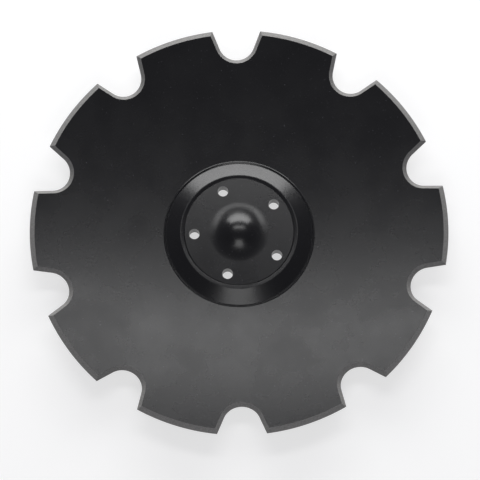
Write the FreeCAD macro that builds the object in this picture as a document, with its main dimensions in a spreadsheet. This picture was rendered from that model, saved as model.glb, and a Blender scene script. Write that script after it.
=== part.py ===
import FreeCAD, Part
import os
import re
import Sketcher

# Notched harrow disc blade, one forged and pressed piece of steel.
# The blade lies on the flat seat of its hub, hollow side up.  The disc axis is +Z, z = 0 is
# the seat, and +X runs through the middle of one notch.  Sizes are in millimetres.

document = FreeCAD.newDocument("DiscBlade")

# ---------------------------------------------------------------------------------------
# Size table: the driving sizes first, then the sizes worked out from them.
# ---------------------------------------------------------------------------------------
SIZES = (
    # the dished plate
    ("rim_radius", "255"),
    ("plate_thick", "5"),
    ("dish_radius", "900"),        # radius of the ball that the hollow face lies on
    # the hub in the middle
    ("seat_radius", "79"),
    ("seat_stand", "2"),           # how far the seat stands out of the back of the plate
    ("seat_run", "9"),             # width of the slope from the seat up to the plate
    ("lip_radius", "93"),          # a low lip pressed up round the foot of the hub
    ("lip_rise", "0.9"),
    ("lip_run", "1.2"),
    ("foot_radius", "90"),         # the crease inside the lip, where the hub wall starts
    ("crown_radius", "72.2"),      # top of the hub wall
    ("hub_rise", "10"),
    ("dome_radius", "38"),
    ("dome_rise", "10"),
    ("dome_tip", "32"),            # radius of the ball at the tip of the dome
    ("relief_mouth", "34"),        # turned relief in the seat, behind the dome
    ("relief_floor", "20"),
    ("relief_depth", "11"),
    # the bolting face, faced a little below the crown, with a fine line round it
    ("crown_flat", "0.9"),         # width of the flat left on top of the wall
    ("face_radius", "66.8"),
    ("face_drop", "0.5"),
    ("line_width", "1.4"),
    ("line_depth", "0.8"),
    # the bolt holes
    ("bolt_circle_radius", "55"),
    ("bolt_hole_radius", "6.5"),
    ("bolt_hole_break", "0.6"),
    ("bolt_hole_angle", "20.4"),
    ("bolt_hole_count", "5"),
    # the ground cutting edge
    ("bevel_width", "6"),
    ("edge_land", "1.2"),
    # the notches
    ("notch_count", "10"),
    ("notch_set_in", "15"),        # from the rim in to the centre of a notch's round end
    ("notch_round", "22.9"),
    ("notch_flare", "22"),         # lean of each side of a notch, in degrees
    ("notch_bevel", "3.6"),
    ("notch_reach", "45"),         # how far the notch cuts run out from that centre
    ("cutter_clear", "3"),         # how far the cutting shapes stand over the plate
    # worked out
    ("foot_z", "=seat_stand + plate_thick"),
    ("ball_z", "=foot_z + sqrt(dish_radius ^ 2 - foot_radius ^ 2)"),
    ("back_radius", "=dish_radius + plate_thick"),
    ("rim_top_z", "=ball_z - sqrt(dish_radius ^ 2 - rim_radius ^ 2)"),
    ("rim_back_z", "=ball_z - sqrt(back_radius ^ 2 - rim_radius ^ 2)"),
    ("bevel_inner", "=rim_radius - bevel_width"),
    ("bevel_inner_z", "=ball_z - sqrt(dish_radius ^ 2 - bevel_inner ^ 2)"),
    ("lip_z", "=ball_z - sqrt(dish_radius ^ 2 - lip_radius ^ 2)"),
    ("crown_z", "=foot_z + hub_rise"),
    ("face_z", "=crown_z - face_drop"),
    ("line_radius", "=face_radius + line_width / 2"),
    ("slope_radius", "=seat_radius + seat_run"),
    ("slope_z", "=ball_z - sqrt(back_radius ^ 2 - slope_radius ^ 2)"),
    ("dome_z", "=face_z + dome_rise"),
    ("dome_arcs", "=(dome_radius ^ 2 + dome_rise ^ 2) / (2 * dome_rise)"),
    ("dome_lean", "=asin(dome_radius / dome_arcs)"),
    ("dome_join_r", "=dome_tip * sin(dome_lean)"),
    ("dome_join_z", "=dome_z - dome_tip * (1 - cos(dome_lean))"),
    ("notch_centre", "=rim_radius - notch_set_in"),
    ("notch_lean", "=asin(notch_centre / dish_radius)"),
    ("notch_z", "=ball_z - sqrt(dish_radius ^ 2 - notch_centre ^ 2)"),
    ("bevel_drop", "=plate_thick - edge_land"),
    ("bevel_taper", "=atan(notch_bevel / bevel_drop)"),
    ("bevel_spread", "=notch_bevel * (1 + cutter_clear / bevel_drop)"),
)

sheet = document.addObject("Spreadsheet::Sheet", "Sizes")
for row, (alias, content) in enumerate(SIZES, start=1):
    sheet.set("A%d" % row, alias)
    sheet.set("B%d" % row, content)
    sheet.setAlias("B%d" % row, alias)
document.recompute()

body = document.addObject("PartDesign::Body", "DiscBlade")
body.Label = "disc_blade"


def value(expression):
    """The number an expression over the size table comes to."""
    result = sheet.evalExpression(expression)
    return float(getattr(result, "Value", result))


def size(text):
    """The expression with every name in it tied to the size table."""
    names = {alias for alias, _ in SIZES}
    return re.sub(
        r"[a-z_]+",
        lambda word: "Sizes." + word.group() if word.group() in names else word.group(),
        text,
    )


def new_sketch(name, plane, lift="0", out="0", lean="0"):
    """A sketch on a plane of the body, lifted off it, moved out along its first axis and
    leaned about its second."""
    made = body.newObject("Sketcher::SketchObject", name)
    origin = {feature.Role: feature for feature in body.Origin.OriginFeatures}
    made.AttachmentSupport = [(origin[plane], "")]
    made.MapMode = "FlatFace"
    if lean != "0":
        turn = FreeCAD.Rotation(FreeCAD.Vector(0, 1, 0), value(size(lean)))
        made.AttachmentOffset = FreeCAD.Placement(FreeCAD.Vector(), turn)
        made.setExpression("AttachmentOffset.Rotation.Angle", size(lean))
    made.setExpression("AttachmentOffset.Base.x", size(out))
    made.setExpression("AttachmentOffset.Base.z", size(lift))
    return made


def tie(sketch, kind, where, text):
    """One driving dimension, held by an expression over the table."""
    number = value(size(text))
    index = sketch.addConstraint(Sketcher.Constraint(kind, *where, number))
    sketch.setExpression("Constraints[%d]" % index, size(text))
    return index


def closed_outline(sketch, corners, arcs=None):
    """A closed run through the corners.  Each corner is a pair of expressions; an entry in
    arcs, keyed by the number of its first corner, gives the centre and the sense of an arc."""
    arcs = arcs or {}
    spots = [FreeCAD.Vector(value(size(x)), value(size(y)), 0) for x, y in corners]
    edges = []
    for number, start in enumerate(spots):
        end = spots[(number + 1) % len(spots)]
        if number in arcs:
            centre_x, centre_y, anticlockwise = arcs[number]
            middle = FreeCAD.Vector(value(size(centre_x)), value(size(centre_y)), 0)
            first, last = (start, end) if anticlockwise else (end, start)
            circle = Part.Circle(middle, FreeCAD.Vector(0, 0, 1), (start - middle).Length)
            arc = Part.ArcOfCircle(circle, circle.parameter(first), circle.parameter(last))
            edges.append((sketch.addGeometry(arc), anticlockwise))
        else:
            edges.append((sketch.addGeometry(Part.LineSegment(start, end)), True))
    for number, (edge, forward) in enumerate(edges):
        following, onward = edges[(number + 1) % len(edges)]
        joint = (edge, 2 if forward else 1, following, 1 if onward else 2)
        sketch.addConstraint(Sketcher.Constraint("Coincident", *joint))
    for number, (x, y) in enumerate(corners):
        edge, forward = edges[number]
        place = (edge, 1 if forward else 2)
        for kind, text in (("DistanceX", x), ("DistanceY", y)):
            if text == "0":
                axis = -2 if kind == "DistanceX" else -1
                sketch.addConstraint(Sketcher.Constraint("PointOnObject", *place, axis))
            else:
                tie(sketch, kind, (-1, 1) + place, text)
    for number, (centre_x, centre_y, _) in arcs.items():
        place = (edges[number][0], 3)
        if centre_x == "0":
            sketch.addConstraint(Sketcher.Constraint("PointOnObject", *place, -2))
        else:
            tie(sketch, "DistanceX", (-1, 1) + place, centre_x)
    return [edge for edge, _ in edges]


def ring_edges(shape, radius, height):
    """The names of the round edges of one radius at one height."""
    found = []
    for number, edge in enumerate(shape.Edges, start=1):
        if edge.Degenerated or not isinstance(edge.Curve, Part.Circle):
            continue
        if abs(edge.Curve.Radius - radius) < 1e-4 and abs(edge.Curve.Center.z - height) < 1e-4:
            found.append("Edge%d" % number)
    return found


def turned(kind, name, sketch):
    """A full turn of a section about the disc axis."""
    made = body.newObject(kind, name)
    made.Profile = sketch
    made.ReferenceAxis = (sketch, ["V_Axis"])
    made.Angle = 360
    document.recompute()
    body.Tip = made
    return made


def round_pattern(name, originals, count, *, about):
    """Copies of the originals spaced evenly round the disc axis."""
    made = body.newObject("PartDesign::PolarPattern", name)
    made.Originals = originals
    made.Axis = about
    made.Angle = 360
    body.Tip = made
    made.setExpression("Occurrences", size(count))
    document.recompute()
    return made


# ---------------------------------------------------------------------------------------
# The dished plate: the space between two balls with one centre.
# ---------------------------------------------------------------------------------------
plate_section = new_sketch("PlateSection", "XZ_Plane")
closed_outline(
    plate_section,
    (
        ("0", "ball_z - back_radius"),
        ("rim_radius", "rim_back_z"),
        ("rim_radius", "rim_top_z"),
        ("0", "ball_z - dish_radius"),
    ),
    {0: ("0", "ball_z", True), 2: ("0", "ball_z", False)},
)
turned("PartDesign::Revolution", "Plate", plate_section)

# ---------------------------------------------------------------------------------------
# The hub: a thick flat pad, its wall rising out of the hollow face and its seat
# standing a little out of the back.
# ---------------------------------------------------------------------------------------
hub_section = new_sketch("HubSection", "XZ_Plane")
closed_outline(
    hub_section,
    (
        ("0", "0"),
        ("seat_radius", "0"),
        ("slope_radius", "slope_z"),
        ("lip_radius", "lip_z"),
        ("lip_radius - lip_run", "lip_z + lip_rise"),
        ("foot_radius", "foot_z"),
        ("crown_radius", "crown_z"),
        ("0", "crown_z"),
    ),
)
turned("PartDesign::Revolution", "Hub", hub_section)

# The plate bulges below the seat in the middle, so the seat is faced flat.
facing_section = new_sketch("SeatFacing", "XZ_Plane")
closed_outline(
    facing_section,
    (
        ("0", "0"),
        ("0", "0 - plate_thick * 2"),
        ("seat_radius", "0 - plate_thick * 2"),
        ("seat_radius", "0"),
    ),
)
turned("PartDesign::Groove", "FacedSeat", facing_section)

# The crown is faced off: a slope down into a fine line, and the flat bolting face inside it.
face_section = new_sketch("FaceSection", "XZ_Plane")
closed_outline(
    face_section,
    (
        ("crown_radius - crown_flat", "crown_z"),
        ("crown_radius - crown_flat", "crown_z + cutter_clear"),
        ("0", "crown_z + cutter_clear"),
        ("0", "face_z"),
        ("face_radius", "face_z"),
        ("line_radius", "face_z - line_depth"),
        ("face_radius + line_width", "face_z - line_depth / 2"),
    ),
)
turned("PartDesign::Groove", "BoltingFace", face_section)

# ---------------------------------------------------------------------------------------
# The dome: a soft bell on the bolting face, a ball at its tip that runs out along a
# hollow arc to the flat.
# ---------------------------------------------------------------------------------------
dome_section = new_sketch("DomeSection", "XZ_Plane")
closed_outline(
    dome_section,
    (
        ("0", "face_z - line_depth"),
        ("dome_radius", "face_z - line_depth"),
        ("dome_radius", "face_z"),
        ("dome_join_r", "dome_join_z"),
        ("0", "dome_z"),
    ),
    {2: ("dome_radius", "face_z + dome_arcs - dome_tip", False),
     3: ("0", "dome_z - dome_tip", True)},
)
turned("PartDesign::Revolution", "Dome", dome_section)

# The relief turned into the seat behind the dome, clear of the end of the bearing.
relief_section = new_sketch("ReliefSection", "XZ_Plane")
closed_outline(
    relief_section,
    (
        ("0", "0 - cutter_clear"),
        ("relief_mouth", "0 - cutter_clear"),
        ("relief_mouth", "0"),
        ("relief_floor", "relief_depth"),
        ("0", "relief_depth"),
    ),
)
turned("PartDesign::Groove", "Relief", relief_section)

# ---------------------------------------------------------------------------------------
# The cutting edge, ground on the hollow side and leaving a narrow land at the rim.
# ---------------------------------------------------------------------------------------
edge_section = new_sketch("EdgeSection", "XZ_Plane")
closed_outline(
    edge_section,
    (
        ("bevel_inner", "bevel_inner_z"),
        ("rim_radius", "rim_back_z + edge_land"),
        ("rim_radius + cutter_clear", "rim_back_z + edge_land"),
        ("rim_radius + cutter_clear", "rim_top_z + cutter_clear"),
        ("bevel_inner", "rim_top_z + cutter_clear"),
    ),
)
turned("PartDesign::Groove", "GroundEdge", edge_section)

# ---------------------------------------------------------------------------------------
# The bolt holes, straight through the hub, with their upper rims lightly broken.
# ---------------------------------------------------------------------------------------
disc_axis = ([o for o in body.Origin.OriginFeatures if o.Role == "Z_Axis"][0], [""])
hole_outline = new_sketch("BoltHoleOutline", "XY_Plane", lift="face_z")
hole_x = "bolt_circle_radius * cos(bolt_hole_angle * 1 deg)"
hole_y = "bolt_circle_radius * sin(bolt_hole_angle * 1 deg)"
hole_centre = FreeCAD.Vector(value(size(hole_x)), value(size(hole_y)), 0)
upright = FreeCAD.Vector(0, 0, 1)
ring = hole_outline.addGeometry(Part.Circle(hole_centre, upright, value("Sizes.bolt_hole_radius")))
tie(hole_outline, "DistanceX", (-1, 1, ring, 3), hole_x)
tie(hole_outline, "DistanceY", (-1, 1, ring, 3), hole_y)
tie(hole_outline, "Radius", (ring,), "bolt_hole_radius")
hole = body.newObject("PartDesign::Pocket", "BoltHole")
hole.Profile = hole_outline
hole.Type = "Length"
hole.setExpression("Length", size("face_z + cutter_clear"))
document.recompute()
body.Tip = hole
holes = round_pattern("BoltHoles", [hole], "bolt_hole_count", about=disc_axis)

breaks = body.newObject("PartDesign::Chamfer", "BoltHoleBreaks")
breaks.Base = (
    holes,
    ring_edges(holes.Shape, value("Sizes.bolt_hole_radius"), value("Sizes.face_z")),
)
breaks.setExpression("Size", size("bolt_hole_break"))
document.recompute()
body.Tip = breaks
document.recompute()

# ---------------------------------------------------------------------------------------
# The notches: punched square to the plate where it slopes, then ground on the hollow
# side like the rim.  Both cuts are made once on +X and carried round.
# ---------------------------------------------------------------------------------------
def notch_cut(name, spread, lift, depth, taper):
    """A cut with a round end and two flaring sides, on a plane lying along the slope."""
    made = new_sketch(
        name + "Outline",
        "XY_Plane",
        lift="notch_z + %s * cos(notch_lean)" % lift,
        out="notch_centre - %s * sin(notch_lean)" % lift,
        lean="0 deg - notch_lean",
    )
    radius = "(notch_round + %s)" % spread
    side = radius + " / cos(notch_flare * 1 deg) + notch_reach * tan(notch_flare * 1 deg)"
    back = "0 - " + radius + " * sin(notch_flare * 1 deg)"
    flank = radius + " * cos(notch_flare * 1 deg)"
    closed_outline(
        made,
        (
            ("notch_reach", "0 - (" + side + ")"),
            ("notch_reach", side),
            (back, flank),
            (back, "0 - " + flank),
        ),
        {2: ("0", "0", True)},
    )
    cut = body.newObject("PartDesign::Pocket", name)
    cut.Profile = made
    cut.Type = "Length"
    cut.setExpression("Length", size(depth))
    if taper:
        cut.setExpression("TaperAngle", size(taper))
    document.recompute()
    body.Tip = cut
    return cut


notch = notch_cut("Notch", "0", "cutter_clear", "cutter_clear * 2 + plate_thick", None)
bevel = notch_cut(
    "NotchBevel", "bevel_spread", "cutter_clear", "cutter_clear + bevel_drop", "0 deg - bevel_taper"
)
round_pattern("Notches", [notch, bevel], "notch_count", about=disc_axis)

# ---------------------------------------------------------------------------------------
# Check and write.
# ---------------------------------------------------------------------------------------
for thing in document.Objects:
    trouble = [word for word in thing.State if word in ("Invalid", "Error")]
    if trouble:
        raise SystemExit("%s is %s" % (thing.Name, trouble))
if not body.Shape.isValid() or len(body.Shape.Solids) != 1:
    raise SystemExit("the blade isn't one valid solid")

os.makedirs("parts", exist_ok=True)
body.Shape.exportStep("parts/%s.step" % body.Label)
box = body.Shape.optimalBoundingBox()
print("disc_blade: %.1f x %.1f x %.1f mm, %.2f kg of steel" % (
    box.XLength, box.YLength, box.ZLength, body.Shape.Volume * 7.85e-6))
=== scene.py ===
# %% Open the frame
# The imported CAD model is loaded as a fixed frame. Everything below is built in metres round
# the disc axis, which is +Z, with z = 0 on the flat seat of the hub.
import math

import bpy
from mathutils import Matrix, Vector


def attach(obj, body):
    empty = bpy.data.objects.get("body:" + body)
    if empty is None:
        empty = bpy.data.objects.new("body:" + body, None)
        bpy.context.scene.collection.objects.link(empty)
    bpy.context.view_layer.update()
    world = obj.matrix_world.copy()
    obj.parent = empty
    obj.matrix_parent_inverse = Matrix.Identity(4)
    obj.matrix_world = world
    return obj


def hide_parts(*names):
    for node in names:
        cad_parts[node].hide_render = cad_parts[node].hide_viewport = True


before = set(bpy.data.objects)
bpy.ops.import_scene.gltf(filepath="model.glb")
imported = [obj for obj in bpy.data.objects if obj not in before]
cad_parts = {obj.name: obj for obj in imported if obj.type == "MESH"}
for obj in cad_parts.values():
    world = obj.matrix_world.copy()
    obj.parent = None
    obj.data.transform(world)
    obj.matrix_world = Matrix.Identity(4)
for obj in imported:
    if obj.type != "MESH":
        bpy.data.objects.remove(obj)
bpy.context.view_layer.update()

# %% [markdown]
# ## What this is
#
# A disc blade cuts and turns soil. It starts as a flat round plate of hardened steel. Notches
# are punched round its rim, it is pressed hot into a shallow dish with a raised hub, and the
# edge is ground on the hollow side. Then it is painted black, and the edge stays bare.
#
# Every size is written here once, in millimetres, because that is how the drawing gives it.

# %% The sizes
MM = 0.001

PLATE = 5.0            # thickness of the dished plate
DISH = 900.0           # radius of the ball that the hollow face lies on
RIM = 255.0            # radius of the blade
SEAT = 79.0            # the flat seat on the back
SEAT_STAND = 2.0       # it stands this far out of the back
SEAT_RUN = 9.0         # width of the slope from the seat up to the plate
LIP = 93.0             # a low lip pressed up round the foot of the hub
LIP_RISE = 0.9
LIP_RUN = 1.2
FOOT = 90.0            # the crease inside the lip, where the hub wall starts
CROWN = 72.2           # where the hub wall ends
CROWN_FLAT = 0.9       # width of the flat left on top of the wall
HUB_RISE = 10.0
FACE = 66.8            # the flat bolting face
FACE_DROP = 0.5        # it lies this far below the crown
LINE_WIDTH = 1.4       # a fine turned line round the bolting face
LINE_DEPTH = 0.8
DOME = 38.0            # the bell in the middle
DOME_RISE = 10.0
DOME_TIP = 32.0        # radius of the ball at its tip
RELIEF_MOUTH = 34.0    # the relief turned into the seat, behind the dome
RELIEF_FLOOR = 20.0
RELIEF_DEPTH = 11.0
BOLT_HOLES = 5
BOLT_CIRCLE = 55.0     # radius of the circle that the bolt holes stand on
BOLT_HOLE = 6.5        # radius of a bolt hole
BOLT_TURN = 20.4       # degrees from +X to the first bolt hole
BEVEL = 6.0            # width of the ground band
LAND = 1.2             # steel left at the very edge
CUT_BAND = 205.0       # steel cut outside this radius is left bare

FOOT_Z = SEAT_STAND + PLATE
BALL_Z = FOOT_Z + math.sqrt(DISH ** 2 - FOOT ** 2)
CROWN_Z = FOOT_Z + HUB_RISE
FACE_Z = CROWN_Z - FACE_DROP


def hollow(r):
    """Height of the hollow face at a radius."""
    return BALL_Z - math.sqrt(DISH ** 2 - r ** 2)


def back(r):
    """Height of the back of the plate at a radius."""
    return BALL_Z - math.sqrt((DISH + PLATE) ** 2 - r ** 2)


print("the rim stands %.1f mm over the seat" % back(RIM))

# %% [markdown]
# ## The section
#
# A turned or pressed round thing is wholly described by half of its section: the line that a
# knife would draw from the axis, out along the back, round the rim and home along the hollow
# side. We could model the solid with cylinders and cut them, but the section is shorter, and
# every soft corner is simply a few more points on the line.
#
# `soften` is that corner: it takes the sharp corners and replaces each by a small arc, with
# the radius given beside it.

# %% Draw the section


def soften(corners, steps=5):
    """The line through (r, z, corner radius) triples, each corner turned into an arc."""
    line = []
    for before, here, after in zip([None] + corners[:-1], corners, corners[1:] + [None]):
        point, radius = Vector(here[:2]), here[2]
        if before is None or after is None or radius == 0:
            line.append(point)
            continue
        towards = (Vector(before[:2]) - point).normalized()
        onwards = (Vector(after[:2]) - point).normalized()
        half = towards.angle(onwards) / 2
        reach = radius / math.tan(half)
        middle = point + (towards + onwards).normalized() * (radius / math.sin(half))
        first = point + towards * reach - middle
        last = point + onwards * reach - middle
        sweep = math.atan2(first.cross(last), first.dot(last))
        for step in range(steps + 1):
            line.append(middle + Matrix.Rotation(sweep * step / steps, 2) @ first)
    return line


def along(height, start, end, count):
    """Points on a face whose height is a function of radius, both ends left out."""
    radii = [start + (end - start) * (i + 1) / (count + 1) for i in range(count)]
    return [(r, height(r), 0) for r in radii]


def dome(r):
    """Height of the dome: a ball at its tip, then a hollow arc that meets the flat."""
    arcs = (DOME ** 2 + DOME_RISE ** 2) / (2 * DOME_RISE)
    join = DOME_TIP * DOME / arcs
    if r < join:
        return FACE_Z + DOME_RISE - DOME_TIP + math.sqrt(DOME_TIP ** 2 - r ** 2)
    rest = arcs - DOME_TIP
    return FACE_Z + rest - math.sqrt(rest ** 2 - (DOME - r) ** 2)


corners = [(0, RELIEF_DEPTH, 0), (RELIEF_FLOOR, RELIEF_DEPTH, 2.0), (RELIEF_MOUTH, 0, 1.0)]
corners += [(SEAT, 0, 1.0), (SEAT + SEAT_RUN, back(SEAT + SEAT_RUN), 2.0)]
corners += along(back, SEAT + SEAT_RUN + 1, RIM, 34)
corners += [(RIM, back(RIM), 0.15), (RIM, back(RIM) + LAND, 0.25)]
corners += [(RIM - BEVEL, hollow(RIM - BEVEL), 0.4)]
corners += along(hollow, RIM - BEVEL, LIP + 1, 34)
corners += [(LIP, hollow(LIP), 0.3), (LIP - LIP_RUN, hollow(LIP) + LIP_RISE, 0.4)]
corners += [(FOOT, FOOT_Z, 0.4), (CROWN, CROWN_Z, 0.3), (CROWN - CROWN_FLAT, CROWN_Z, 0.3)]
corners += [(FACE + LINE_WIDTH, FACE_Z - LINE_DEPTH / 2, 0.15)]
corners += [(FACE + LINE_WIDTH / 2, FACE_Z - LINE_DEPTH, 0.15)]
corners += [(FACE, FACE_Z, 0.3)]
corners += along(lambda r: FACE_Z, FACE - 1, DOME, 5)
corners += [(DOME, FACE_Z, 0)] + along(dome, DOME, 0, 26) + [(0, FACE_Z + DOME_RISE, 0)]
section = [(r * MM, z * MM) for r, z in soften(corners)]
print("the section has", len(section), "points")

# %% [markdown]
# ## The cutting tools
#
# A notch is punched square to the plate, and its edge is ground on the hollow side only. So
# the tool has the notch's outline twice: straight through, and widening above the plate. It is
# made once, leaning with the slope of the dish, and the node tree carries it round.
#
# The outline is a round end with two flaring sides, like a keyhole seen from its wide end.

# %% Make the notch tool
NOTCHES = 10
NOTCH_MIDDLE = RIM - 15.0     # where the round end is centred
NOTCH_ROUND = 22.9
NOTCH_FLARE = math.radians(22)
NOTCH_BEVEL = 3.6             # width of the ground band in a notch
TOOL_REACH = 46.0             # how far the tool runs out, past the rim
TOOL_BELOW = 14.0             # and how far it reaches under and over the hollow face
TOOL_ABOVE = 6.0


def notch_outline(radius, lift, steps=28):
    """The notch's outline, on a plane lying along the slope, lifted off the plate."""
    side = radius / math.cos(NOTCH_FLARE) + TOOL_REACH * math.tan(NOTCH_FLARE)
    start, end = math.pi / 2 + NOTCH_FLARE, 3 * math.pi / 2 - NOTCH_FLARE
    turns = [start + (end - start) * i / steps for i in range(steps + 1)]
    round_end = [Vector((radius * math.cos(a), radius * math.sin(a), lift)) for a in turns]
    return [Vector((TOOL_REACH, side, lift)), *round_end, Vector((TOOL_REACH, -side, lift))]


grow = NOTCH_BEVEL / (PLATE - LAND)
levels = [
    notch_outline(NOTCH_ROUND, -TOOL_BELOW),
    notch_outline(NOTCH_ROUND, -(PLATE - LAND)),
    notch_outline(NOTCH_ROUND + NOTCH_BEVEL + TOOL_ABOVE * grow, TOOL_ABOVE),
]
lean = math.asin(NOTCH_MIDDLE / DISH)
seat_it = Matrix.Translation((NOTCH_MIDDLE, 0, hollow(NOTCH_MIDDLE)))
seat_it = seat_it @ Matrix.Rotation(-lean, 4, "Y")
around = len(levels[0])
points = [seat_it @ p * MM for level in levels for p in level]
faces = [tuple(reversed(range(around)))]
for low in range(len(levels) - 1):
    for i in range(around):
        j = (i + 1) % around
        faces.append(tuple(low * around + i + n for n in (0, j - i, j - i + around, around)))
faces.append(tuple(range((len(levels) - 1) * around, len(levels) * around)))
tool_mesh = bpy.data.meshes.new("notch_tool")
tool_mesh.from_pydata([tuple(p) for p in points], [], faces)
tool_mesh.validate()
notch_tool = bpy.data.objects.new("notch_tool", tool_mesh)
bpy.context.collection.objects.link(notch_tool)
print("the notch tool has", len(faces), "faces")

# %% [markdown]
# ## Two finishes
#
# Paint and bare steel. Both are made of nodes, so we first want a short way of adding one: a
# node, its settings, and what goes into its sockets, in one call.

# %% A node in one call


def linear(code):
    """An sRGB colour such as "1C1C1E" as the linear colour that a shader wants."""
    parts = [int(code[i:i + 2], 16) / 255 for i in (0, 2, 4)]
    return tuple(c / 12.92 if c <= 0.04045 else ((c + 0.055) / 1.055) ** 2.4 for c in parts) + (1,)


def node(tree, kind, inputs=None, **settings):
    """Adds a node. A socket's input is a value, or the output of another node."""
    made = tree.nodes.new(kind)
    for name, setting in settings.items():
        setattr(made, name, setting)
    for key, given in (inputs or {}).items():
        if isinstance(given, bpy.types.NodeSocket):
            tree.links.new(given, made.inputs[key])
        else:
            made.inputs[key].default_value = given
    return made


def finish_named(name):
    """A new material with one Principled shader and nothing else but its output."""
    material = bpy.data.materials.new(name)
    material.use_nodes = True
    tree = material.node_tree
    shader = tree.nodes["Principled BSDF"]
    where = node(tree, "ShaderNodeTexCoord").outputs["Object"]
    return material, tree, shader, where


print("white is", linear("FFFFFF"))

# %% [markdown]
# ### Black satin paint
#
# The blade is dipped or sprayed with one thin coat of black enamel over plate that was rolled
# and pressed hot. The coat is thin enough that the steel's skin shows through it: a fine
# orange peel, a slight cloudiness in the gloss, and specks of dust.
#
# So the colour hardly varies, and nearly everything the eye sees is in the roughness and in
# the bump. Enamel has an IOR of about 1.5.

# %% Mix the paint
paint, tree, shader, where = finish_named("black_satin_enamel")
cloud = node(tree, "ShaderNodeTexNoise", {"Vector": where, "Scale": 22.0, "Detail": 5.0})
speck = node(tree, "ShaderNodeTexNoise", {"Vector": where, "Scale": 520.0, "Detail": 2.0})
dust = node(tree, "ShaderNodeMapRange", {
    "Value": speck.outputs["Fac"], "From Min": 0.70, "From Max": 0.78, "To Max": 0.5})
colour = node(tree, "ShaderNodeMix", {
    "Factor": dust.outputs["Result"], "A": linear("101012"), "B": linear("6A6A70")},
    data_type="RGBA")
gloss = node(tree, "ShaderNodeMapRange", {
    "Value": cloud.outputs["Fac"], "From Min": 0.3, "From Max": 0.7,
    "To Min": 0.24, "To Max": 0.30})
peel = node(tree, "ShaderNodeTexNoise", {"Vector": where, "Scale": 420.0, "Detail": 3.0})
relief = node(tree, "ShaderNodeBump", {
    "Height": peel.outputs["Fac"], "Strength": 0.25, "Distance": 0.0002})
tree.links.new(colour.outputs["Result"], shader.inputs["Base Color"])
tree.links.new(gloss.outputs["Result"], shader.inputs["Roughness"])
tree.links.new(relief.outputs["Normal"], shader.inputs["Normal"])
shader.inputs["IOR"].default_value = 1.5
print("mixed", paint.name)

# %% [markdown]
# ### Ground steel
#
# The edge is ground dry on a coarse wheel and left bare. The wheel's scratches run across the
# edge and are far finer than they can be drawn at this size, so they are drawn as coarse as
# they need to be to show, as a mottled grain.

# %% Grind the edge
bare, tree, shader, where = finish_named("ground_bare_steel")
grain = node(tree, "ShaderNodeTexNoise", {"Vector": where, "Scale": 700.0, "Detail": 4.0})
colour = node(tree, "ShaderNodeMix", {
    "Factor": grain.outputs["Fac"], "A": linear("5E5D5C"), "B": linear("A3A2A0")},
    data_type="RGBA")
relief = node(tree, "ShaderNodeBump", {
    "Height": grain.outputs["Fac"], "Strength": 0.4, "Distance": 0.0002})
tree.links.new(colour.outputs["Result"], shader.inputs["Base Color"])
tree.links.new(relief.outputs["Normal"], shader.inputs["Normal"])
shader.inputs["Metallic"].default_value = 0.4
shader.inputs["Roughness"].default_value = 0.7
print("mixed", bare.name)

# %% [markdown]
# ## The blade, as a recipe
#
# A blade is turned, drilled and notched, each by a rule with a few numbers in it. That is what
# Geometry Nodes is for. The tree takes the section and
#
# 1. spins it: a sheet of points is made, one row for each point of the section and one column
#    for each step round the axis, and each point is fetched from the section and turned;
# 2. drills the bolt holes, with cylinders carried round a circle;
# 3. cuts the notches, with the tool carried round the axis;
# 4. marks every edge that is a real corner, so that the rest shades smooth;
# 5. gives bare steel to what was cut at the rim, which is every face out there that doesn't
#    lie along the dish, and paint to the rest.

# %% Start the tree, with its sizes as named inputs
STEPS_ROUND = 480

recipe = bpy.data.node_groups.new("blade_recipe", "GeometryNodeTree")
sockets = {}


def add_input(name, kind, default=None):
    made = recipe.interface.new_socket(name=name, in_out="INPUT", socket_type=kind)
    if default is not None:
        made.default_value = default
    sockets[name] = made.identifier


add_input("Section", "NodeSocketGeometry")
add_input("Steps round", "NodeSocketInt", STEPS_ROUND)
add_input("Section points", "NodeSocketInt", len(section))
add_input("Bolt holes", "NodeSocketInt", BOLT_HOLES)
add_input("Bolt circle radius", "NodeSocketFloat", BOLT_CIRCLE * MM)
add_input("Bolt hole radius", "NodeSocketFloat", BOLT_HOLE * MM)
add_input("Bolt hole turn", "NodeSocketFloat", math.radians(BOLT_TURN))
add_input("Notches", "NodeSocketInt", NOTCHES)
add_input("Notch tool", "NodeSocketObject")
add_input("Ball centre height", "NodeSocketFloat", BALL_Z * MM)
add_input("Cut band starts", "NodeSocketFloat", CUT_BAND * MM)
recipe.interface.new_socket(name="Blade", in_out="OUTPUT", socket_type="NodeSocketGeometry")
given = recipe.nodes.new("NodeGroupInput").outputs
print("the recipe has", len(sockets), "inputs")

# %% Spin the section
whole_turn = math.tau
columns = node(recipe, "ShaderNodeMath", {0: given["Steps round"], 1: 1.0}, operation="ADD")
sheet = node(recipe, "GeometryNodeMeshGrid", {
    "Vertices X": columns.outputs[0], "Vertices Y": given["Section points"]})
index = node(recipe, "GeometryNodeInputIndex").outputs["Index"]
row = node(recipe, "ShaderNodeMath", {0: index, 1: given["Section points"]}, operation="MODULO")
column = node(recipe, "ShaderNodeMath", {0: index, 1: given["Section points"]}, operation="DIVIDE")
column = node(recipe, "ShaderNodeMath", {0: column.outputs[0]}, operation="FLOOR")
column = node(recipe, "ShaderNodeMath", {
    0: column.outputs[0], 1: given["Steps round"]}, operation="MODULO")
share = node(recipe, "ShaderNodeMath", {
    0: column.outputs[0], 1: given["Steps round"]}, operation="DIVIDE")
turn = node(recipe, "ShaderNodeMath", {0: share.outputs[0], 1: whole_turn}, operation="MULTIPLY")
place = node(recipe, "GeometryNodeInputPosition").outputs["Position"]
fetched = node(recipe, "GeometryNodeSampleIndex", {
    "Geometry": given["Section"], "Value": place, "Index": row.outputs[0]},
    data_type="FLOAT_VECTOR")
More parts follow.
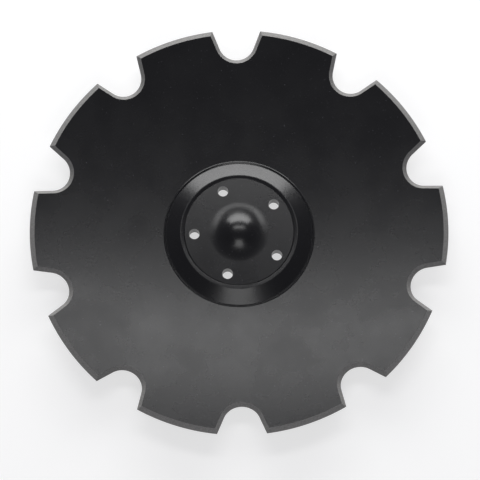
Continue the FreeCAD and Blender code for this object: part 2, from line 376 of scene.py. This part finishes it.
turned = node(recipe, "ShaderNodeVectorRotate", {
    "Vector": fetched.outputs["Value"], "Angle": turn.outputs[0]}, rotation_type="Z_AXIS")
spun = node(recipe, "GeometryNodeSetPosition", {
    "Geometry": sheet.outputs["Mesh"], "Position": turned.outputs["Vector"]})
blank = node(recipe, "GeometryNodeMergeByDistance", {
    "Geometry": spun.outputs["Geometry"], "Distance": 0.00001})
print("spun in", STEPS_ROUND, "steps")

# %% Drill the bolt holes
drill = node(recipe, "GeometryNodeMeshCylinder", {
    "Vertices": 64, "Radius": given["Bolt hole radius"], "Depth": 0.08})
circle = node(recipe, "GeometryNodeMeshCircle", {
    "Vertices": given["Bolt holes"], "Radius": given["Bolt circle radius"]})
spots = node(recipe, "GeometryNodeInstanceOnPoints", {
    "Points": circle.outputs["Mesh"], "Instance": drill.outputs["Mesh"]})
axis = node(recipe, "ShaderNodeCombineXYZ", {"Z": given["Bolt hole turn"]})
drills = node(recipe, "GeometryNodeTransform", {
    "Geometry": spots.outputs["Instances"], "Rotation": axis.outputs["Vector"]})
drills = node(recipe, "GeometryNodeRealizeInstances", {"Geometry": drills.outputs["Geometry"]})
print("drilled", BOLT_HOLES, "holes,", 2 * BOLT_HOLE, "mm across")

# %% Carry the notch tool round
tool = node(recipe, "GeometryNodeObjectInfo", {"Object": given["Notch tool"]})
stations = node(recipe, "GeometryNodePoints", {"Count": given["Notches"]})
station = node(recipe, "GeometryNodeInputIndex").outputs["Index"]
step = node(recipe, "ShaderNodeMath", {0: station, 1: given["Notches"]}, operation="DIVIDE")
angle = node(recipe, "ShaderNodeMath", {0: step.outputs[0], 1: whole_turn}, operation="MULTIPLY")
upright = node(recipe, "ShaderNodeCombineXYZ", {"Z": angle.outputs[0]})
tools = node(recipe, "GeometryNodeInstanceOnPoints", {
    "Points": stations.outputs["Points"], "Instance": tool.outputs["Geometry"],
    "Rotation": upright.outputs["Vector"]})
tools = node(recipe, "GeometryNodeRealizeInstances", {"Geometry": tools.outputs["Instances"]})
cut = node(recipe, "GeometryNodeMeshBoolean", {"Mesh 1": blank.outputs["Geometry"]},
           operation="DIFFERENCE", solver="MANIFOLD")
recipe.links.new(drills.outputs["Geometry"], cut.inputs["Mesh 2"])
recipe.links.new(tools.outputs["Geometry"], cut.inputs["Mesh 2"])
print("cut", NOTCHES, "notches")

# %% Mark the corners, and part paint from bare steel
corner = node(recipe, "GeometryNodeInputMeshEdgeAngle").outputs["Unsigned Angle"]
soft = node(recipe, "ShaderNodeMath", {0: corner, 1: math.radians(18)}, operation="LESS_THAN")
shaded = node(recipe, "GeometryNodeSetShadeSmooth", {
    "Geometry": cut.outputs["Mesh"], "Shade Smooth": soft.outputs[0]}, domain="EDGE")

centre = node(recipe, "ShaderNodeCombineXYZ", {"Z": given["Ball centre height"]})
to_centre = node(recipe, "ShaderNodeVectorMath", {
    0: centre.outputs["Vector"], 1: place}, operation="SUBTRACT")
unit = node(recipe, "ShaderNodeVectorMath", {0: to_centre.outputs["Vector"]}, operation="NORMALIZE")
facing = node(recipe, "GeometryNodeInputNormal").outputs["Normal"]
agree = node(recipe, "ShaderNodeVectorMath", {
    0: unit.outputs["Vector"], 1: facing}, operation="DOT_PRODUCT")
agree = node(recipe, "ShaderNodeMath", {0: agree.outputs["Value"]}, operation="ABSOLUTE")
off_dish = node(recipe, "ShaderNodeMath", {
    0: agree.outputs[0], 1: math.cos(math.radians(12))}, operation="LESS_THAN")
flat = node(recipe, "ShaderNodeVectorMath", {0: place, 1: (1, 1, 0)}, operation="MULTIPLY")
reach = node(recipe, "ShaderNodeVectorMath", {0: flat.outputs["Vector"]}, operation="LENGTH")
far_out = node(recipe, "ShaderNodeMath", {
    0: reach.outputs["Value"], 1: given["Cut band starts"]}, operation="GREATER_THAN")
is_cut = node(recipe, "ShaderNodeMath", {
    0: off_dish.outputs[0], 1: far_out.outputs[0]}, operation="MULTIPLY")

joined = node(recipe, "GeometryNodeRealizeInstances", {"Geometry": shaded.outputs["Geometry"]})
painted = node(recipe, "GeometryNodeSetMaterial", {
    "Geometry": joined.outputs["Geometry"], "Material": paint})
ground = node(recipe, "GeometryNodeSetMaterial", {
    "Geometry": painted.outputs["Geometry"], "Selection": is_cut.outputs[0], "Material": bare})
node(recipe, "NodeGroupOutput", {"Blade": ground.outputs["Geometry"]})
print("the recipe has", len(recipe.nodes), "nodes")

# %% Run the recipe
line_mesh = bpy.data.meshes.new("blade_section")
line_mesh.from_pydata([(r, 0, z) for r, z in section],
                      [(i, i + 1) for i in range(len(section) - 1)], [])
raw = bpy.data.objects.new("blade_section", line_mesh)
bpy.context.collection.objects.link(raw)
modifier = raw.modifiers.new("recipe", "NODES")
modifier.node_group = recipe
modifier[sockets["Notch tool"]] = notch_tool
bpy.context.view_layer.update()

finished = raw.evaluated_get(bpy.context.evaluated_depsgraph_get())
blade_mesh = bpy.data.meshes.new_from_object(finished)
blade_mesh.name = "blade"
is_bare = [blade_mesh.materials[face.material_index] == bare for face in blade_mesh.polygons]
blade_mesh.materials.clear()
blade_mesh.materials.append(paint)
blade_mesh.materials.append(bare)
blade_mesh.polygons.foreach_set("material_index", is_bare)
blade = bpy.data.objects.new("blade", blade_mesh)
bpy.context.collection.objects.link(blade)
for scrap in (raw, notch_tool):
    bpy.data.objects.remove(scrap)
blade_mesh.calc_loop_triangles()
print("the blade has", len(blade_mesh.loop_triangles), "triangles and",
      [m.name for m in blade_mesh.materials])

# %% [markdown]
# ## Fit it to the frame
#
# The blade rides on the one body there is, stands for the CAD node, and takes its place.

# %% Ride on the frame
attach(blade, "root")
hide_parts("disc_blade")
print(blade.name, "rides on root in place of disc_blade")

# %% [markdown]
# ## The studio
#
# A white floor, and soft lamps. A black satin thing shows mostly what it mirrors, so the lamps
# are placed by asking where each face of the blade looks.

# %% Lay the floor
VIEW_TURN = math.radians(-18.8)      # the blade is seen turned this far round its axis
away = Vector((-math.sin(VIEW_TURN), math.cos(VIEW_TURN), 0))
right = Vector((math.cos(VIEW_TURN), math.sin(VIEW_TURN), 0))

floor_mesh = bpy.data.meshes.new("floor")
floor_mesh.from_pydata([(-4, -4, 0), (4, -4, 0), (4, 4, 0), (-4, 4, 0)], [], [(0, 1, 2, 3)])
floor = bpy.data.objects.new("floor", floor_mesh)
bpy.context.collection.objects.link(floor)
white, tree, shader, where = finish_named("white_floor")
shader.inputs["Base Color"].default_value = linear("B4B4B4")
shader.inputs["Roughness"].default_value = 0.9
path = node(tree, "ShaderNodeLightPath")
seen = node(tree, "ShaderNodeMath", {
    0: path.outputs["Is Camera Ray"], 1: path.outputs["Is Glossy Ray"]}, operation="MAXIMUM")
seen = node(tree, "ShaderNodeMath", {
    0: seen.outputs[0], 1: path.outputs["Is Transmission Ray"]}, operation="MAXIMUM")
lift = node(tree, "ShaderNodeMath", {0: seen.outputs[0], 1: 0.62}, operation="MULTIPLY")
shader.inputs["Emission Color"].default_value = (1, 1, 1, 1)
tree.links.new(lift.outputs[0], shader.inputs["Emission Strength"])
floor_mesh.materials.append(white)
print("laid the", white.name)

# %% Hang the lamps


def lamp(name, lean_deg, swing_deg, distance, width, height, watts):
    """A soft panel aimed at the blade. lean is from straight up towards the far side."""
    lean, swing = math.radians(lean_deg), math.radians(swing_deg)
    flat_way = away * math.cos(swing) + right * math.sin(swing)
    spot = (flat_way * math.sin(lean) + Vector((0, 0, math.cos(lean)))) * distance
    data = bpy.data.lights.new(name, "AREA")
    data.shape = "RECTANGLE"
    data.size, data.size_y = width, height
    data.energy = watts
    made = bpy.data.objects.new(name, data)
    facing_in = (-spot).to_track_quat("-Z", "Y").to_matrix().to_4x4()
    made.matrix_world = Matrix.Translation(spot) @ facing_in
    bpy.context.collection.objects.link(made)
    print(name, [round(v, 2) for v in spot])
    return made


lamp("far_panel", 70, 0, 2.0, 2.6, 1.1, 50)
lamp("top_panel", 26, 0, 2.0, 1.6, 0.35, 9)
lamp("near_panel", -42, 0, 2.0, 1.0, 0.7, 6)

world = bpy.data.worlds.new("studio")
bpy.context.scene.world = world
world.use_nodes = True
world.node_tree.nodes["Background"].inputs["Color"].default_value = linear("6E6E74")
world.node_tree.nodes["Background"].inputs["Strength"].default_value = 1.0

# %% [markdown]
# ## The camera
#
# A long lens, high over the near side, so that the rim is almost a true circle.

# %% Set the camera
rim_middle = Vector((0, 0, (back(RIM) + LAND) * MM))
TILT = math.radians(14.6)
DISTANCE = 2.55
towards = -away * math.sin(TILT) + Vector((0, 0, math.cos(TILT)))
up = away * math.cos(TILT) + Vector((0, 0, math.sin(TILT)))
aim = rim_middle - up * 0.0151 + right * 0.0011
data = bpy.data.cameras.new("camera")
data.lens = 157.0
data.sensor_width = 36.0
camera = bpy.data.objects.new("camera", data)
bpy.context.collection.objects.link(camera)
axes = Matrix((right, up, towards)).transposed().to_4x4()
camera.matrix_world = Matrix.Translation(aim + towards * DISTANCE) @ axes
bpy.context.scene.camera = camera
bpy.context.scene.view_settings.view_transform = "Standard"
print("the camera stands at", [round(v, 2) for v in camera.matrix_world.translation])
